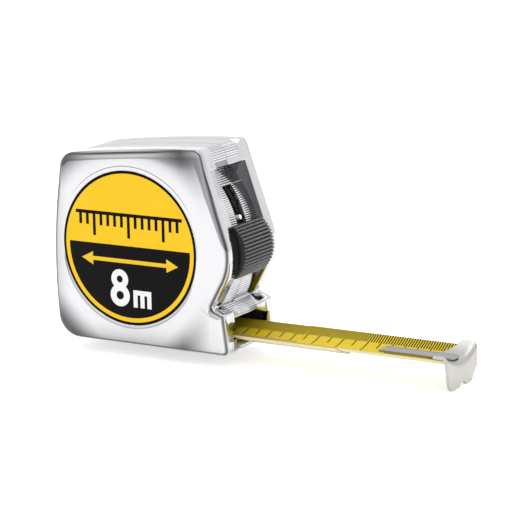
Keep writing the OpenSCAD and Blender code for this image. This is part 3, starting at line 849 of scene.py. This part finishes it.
# %% Cover strip and rivets
def flat_plate(corners, z0, z1, soft):
    """A plate from an outline of (x, y), with softened edges."""
    bm = bmesh.new()
    verts = [bm.verts.new((x, y, z0)) for x, y in corners]
    face = bm.faces.new(verts)
    up = bmesh.ops.extrude_face_region(bm, geom=[face])["geom"]
    bmesh.ops.translate(bm, vec=(0, 0, z1 - z0), verts=[v for v in up if isinstance(v, bmesh.types.BMVert)])
    bmesh.ops.recalc_face_normals(bm, faces=bm.faces)
    return soften(bm, soft, least=40)


strip_low, strip_high = box_mm("cover_strip")
w, nose = strip_high.y, 2.2
turns = [k * pi / 16 for k in range(9)]
nose_x = strip_high.x - nose
corners = [(strip_low.x, -w), (nose_x, -w)]
corners += [(nose_x + nose * sin(a), -w + nose - nose * cos(a)) for a in turns[1:]]
corners += [(nose_x + nose * cos(a), w - nose + nose * sin(a)) for a in turns]
corners += [(strip_low.x + 0.4, w)]
cover = flat_plate(corners, strip_low.z, strip_high.z, 0.14)
piece("rivet_cover", cover, "tape_end", [brushed], ["cover_strip"])

tang = flat_plate([(strip_low.x + 3, -tang_half), (zero_x - 10.9, -tang_half), (zero_x - 10.9, tang_half),
                   (strip_low.x + 6, tang_half)], belly_z + 0.1, strip_low.z - 0.04, 0.1)
piece("hook_tang", tang, "hook", [nickel])

# a domed head under the tape and a straight shank up into the strip
head_z = box_mm("hook_rivets")[0].z
top_z = strip_high.z - 0.1
dome = ((0, 0), (0.9, 0.05), (1.5, 0.2), (1.85, 0.45), (1.9, 0.6), (1, 0.6))
profile = [(r, head_z + up) for r, up in dome]
profile += [(1, top_z), (0, top_z)]
rivets = []
for x in rivet_xs:
    bm = bmesh.new()
    line = [bm.verts.new((x + r, 0, z)) for r, z in profile]
    edges = [bm.edges.new(pair) for pair in zip(line, line[1:])]
    bmesh.ops.spin(bm, geom=line + edges, axis=(0, 0, 1), cent=(x, 0, 0), steps=32, angle=2 * pi,
                   use_merge=True)
    bmesh.ops.remove_doubles(bm, verts=bm.verts, dist=1e-4)
    bmesh.ops.recalc_face_normals(bm, faces=bm.faces)
    rivets.append(bm)
piece("blade_rivets", joined(rivets), "tape_end", [rivet_steel], ["hook_rivets"])

# %% [markdown]
# ## The thumb lock
# The grip is a crescent moulded with ribs right across it. Its outline is made once, as it looks
# from the side, and skinned across the case's width, with a small rounding at each end.

# %% Ribbed grip
slider_r = track_r + 0.3
mid, span, rise, edge = 0.4, 28.6, 6.8, 2.5
crest = slider_r + rise - 0.3
edge_x = (slider_r + edge) * cos(radians(span / 2))
edge_z = (slider_r + edge) * sin(radians(span / 2))
bow_r = (edge_z ** 2 + (crest - edge_x) ** 2) / (2 * (crest - edge_x))
bow_half = asin(edge_z / bow_r)
rib_count, rib_h = 17, 1.2


def grip_outline(d):
    """The grip's side outline, moved in by about d."""
    made = []
    fine = 8
    for i in range(rib_count * fine + 1):
        a = bow_half * (2 * i / (rib_count * fine) - 1)
        r = bow_r - rib_h + rib_h * sin(pi * (i % fine) / fine) ** 0.6 - d
        made.append(Vector((crest - bow_r + r * cos(a), r * sin(a) * (1 - d / edge_z))))
    inner = slider_r + 0.02 + d * 0.5
    for i in range(25):
        a = radians(span / 2 - 0.4) * (1 - i / 12) * (1 - d / edge_z)
        made.append(Vector((inner * cos(a), inner * sin(a))))
    turn = Matrix.Rotation(radians(mid), 2)
    return [turn @ p + Vector((0, reel_z)) for p in made]


half = box_mm("lock_slider")[1].y
rounded = ((-half, 0.35), (-half + 0.1, 0.12), (-half + 0.35, 0))
ends = rounded + tuple((-y, d) for y, d in reversed(rounded))
rows = [[(p.x, y, p.y) for p in grip_outline(d)] for y, d in ends]
bow = skin(rows)
centre = Matrix.Rotation(radians(mid), 2) @ Vector((crest - bow_r, 0)) + Vector((0, reel_z))
# deep groove faces and the flat ends take the painted shade finish
for face in bow.faces:
    c = face.calc_center_median()
    deep = bow_r - rib_h * 0.62 > hypot(c.x - centre.x, c.z - centre.y)
    if deep or abs(face.normal.y) > 0.9:
        face.material_index = 1
piece("thumb_grip", bow, "lock", [grip, painted_shade_grip_black], ["lock_slider"], sharp=50)

# %% [markdown]
# ## The belt clip
# Spring steel strip, bent out from the case to hold on a belt. It is a bent section carried
# across the strip's width, with its edges broken.

# %% Bent clip
clip_low, clip_high = box_mm("belt_clip")


def bent(path, radius, steps=8):
    """A path with its corners rounded."""
    made = [Vector(path[0])]
    for p, q, s in zip(path, path[1:], path[2:]):
        p, q, s = Vector(p), Vector(q), Vector(s)
        a, b = (p - q).normalized(), (s - q).normalized()
        reach = min(radius / tan(a.angle(b) / 2), 0.45 * min((p - q).length, (s - q).length))
        start, end = q + a * reach, q + b * reach
        made += [(start.lerp(q, t)).lerp(q.lerp(end, t), t) for t in (k / steps for k in range(steps + 1))]
    return made + [Vector(path[-1])]


clip_t = 1.0
out_y = half_w + 5 + clip_t
path = [(half_w + clip_t, clip_high.z), (half_w + clip_t, clip_high.z - 13), (out_y + 0.6, clip_high.z - 19),
        (out_y - 0.2, clip_low.z + 5), (out_y + 0.9, clip_low.z + 0.1)]
line = bent(path, 3)
inner = []
for i, p in enumerate(line):
    d = (line[min(i + 1, len(line) - 1)] - line[max(i - 1, 0)]).normalized()
    inner.append(p + Vector((d.y, -d.x)) * clip_t)
section = line + inner[::-1]
wide = clip_high.x
clip = skin([[(x, p.x, p.y) for p in section] for x in (-wide, -wide / 2, 0, wide / 2, wide)])
piece("clip_strip", soften(clip, 0.2, least=60), "case", [clip_chrome], ["belt_clip"])

# %% [markdown]
# ## The rest of the CAD nodes
# The reel, spring, post, screws and lock parts keep their CAD shapes, which are already right.
# They only take their finishes.

# %% Finishes on CAD nodes
for finish, names in ((zinc, ("centre_post", "post_screw", "case_screws", "clip_screw")),
                      (white_nylon, ("thrust_washers", "reel_drum", "reel_cover", "lock_pin")),
                      (spring_steel, ("power_spring", "brake_strip")), (rivet_steel, ("spring_rivet",)),
                      (wound, ("tape_coil",)), (black_nylon, ("lock_carrier",)), (pad_rubber, ("brake_pad",)),
                      (white_nylon, ("mouth_liner",))):
    for name in names:
        mesh = nodes[name].data
        mesh.materials.clear()
        mesh.materials.append(finish)

# %% [markdown]
# ## Floor, light and camera
# A wide table of lit white acrylic and soft light from all round, as in a product studio. Chrome
# shows only what is round it, so the sky has a faint grey band low down on the near side, which
# shades the surfaces that lean back.

# %% Floor
floor_bm = bmesh.new()
bmesh.ops.create_grid(floor_bm, x_segments=8, y_segments=8, size=6)
bmesh.ops.translate(floor_bm, vec=(0, 0, hook_low.z * MM - 0.0002), verts=floor_bm.verts)
floor_mesh = bpy.data.meshes.new("floor")
floor_bm.to_mesh(floor_mesh)
floor_bm.free()
table, tree, shader, place = new_finish("lit_white_acrylic_table", "#E6E6E6", 0, 0.9)
shader.inputs["Emission Color"].default_value = (1, 1, 1, 1)
shader.inputs["Emission Strength"].default_value = 0.45
floor_mesh.materials.append(table)
floor = bpy.data.objects.new("floor", floor_mesh)
scene.collection.objects.link(floor)

# %% Sky and lamps
world = bpy.data.worlds.new("studio")
scene.world = world
world.use_nodes = True
tree = world.node_tree
back = tree.nodes["Background"]
look = add(tree, "ShaderNodeTexCoord").outputs["Generated"]
split = add(tree, "ShaderNodeSeparateXYZ", {"Vector": look}).outputs
front = add(tree, "ShaderNodeMapRange", {"Value": split["Y"], "From Min": -0.1, "From Max": -0.55})
low_down = add(tree, "ShaderNodeMapRange", {"Value": split["Z"], "From Min": 0.42, "From Max": 0.1})
band = formula(tree, ("MULTIPLY", front.outputs["Result"], low_down.outputs["Result"]))
sky = add(tree, "ShaderNodeMix", {
    "Factor": band, 6: (1.12, 1.12, 1.13, 1), 7: (0.66, 0.66, 0.67, 1)}, data_type="RGBA")
tree.links.new(sky.outputs[2], back.inputs["Color"])
back.inputs["Strength"].default_value = 1.0


def lamp(name, size, power, place, target):
    """A soft square lamp, aimed at a point. Sizes are in metres."""
    data = bpy.data.lights.new(name, "AREA")
    data.shape, data.size, data.energy = "SQUARE", size, power
    obj = bpy.data.objects.new(name, data)
    obj.location = place
    obj.rotation_euler = (Vector(target) - Vector(place)).to_track_quat("-Z", "Y").to_euler()
    scene.collection.objects.link(obj)
    return obj


lamp("top_softbox", 1.6, 10, (0.1, 0.1, 1.6), (0, 0, 0))

# %% Camera
turn, lift, roll = radians(30.2744), radians(12.6864), radians(-0.9889)
aim, away = Vector((40.536, 10.085, 28.807)) * MM, 884.687 * MM
toward = Vector((sin(turn) * cos(lift), -cos(turn) * cos(lift), sin(lift)))
level = Vector((cos(turn), sin(turn), 0))
upright = toward.cross(level)
right = cos(roll) * level + sin(roll) * upright
up = cos(roll) * upright - sin(roll) * level
camera_data = bpy.data.cameras.new("camera")
camera_data.sensor_width, camera_data.lens = 36, 163.03
camera_data.clip_start, camera_data.clip_end = 0.01, 20
camera = bpy.data.objects.new("camera", camera_data)
camera.matrix_world = Matrix((right, up, toward)).transposed().to_4x4()
camera.location = aim + toward * away
scene.collection.objects.link(camera)
scene.camera = camera
scene.view_settings.view_transform = "Standard"
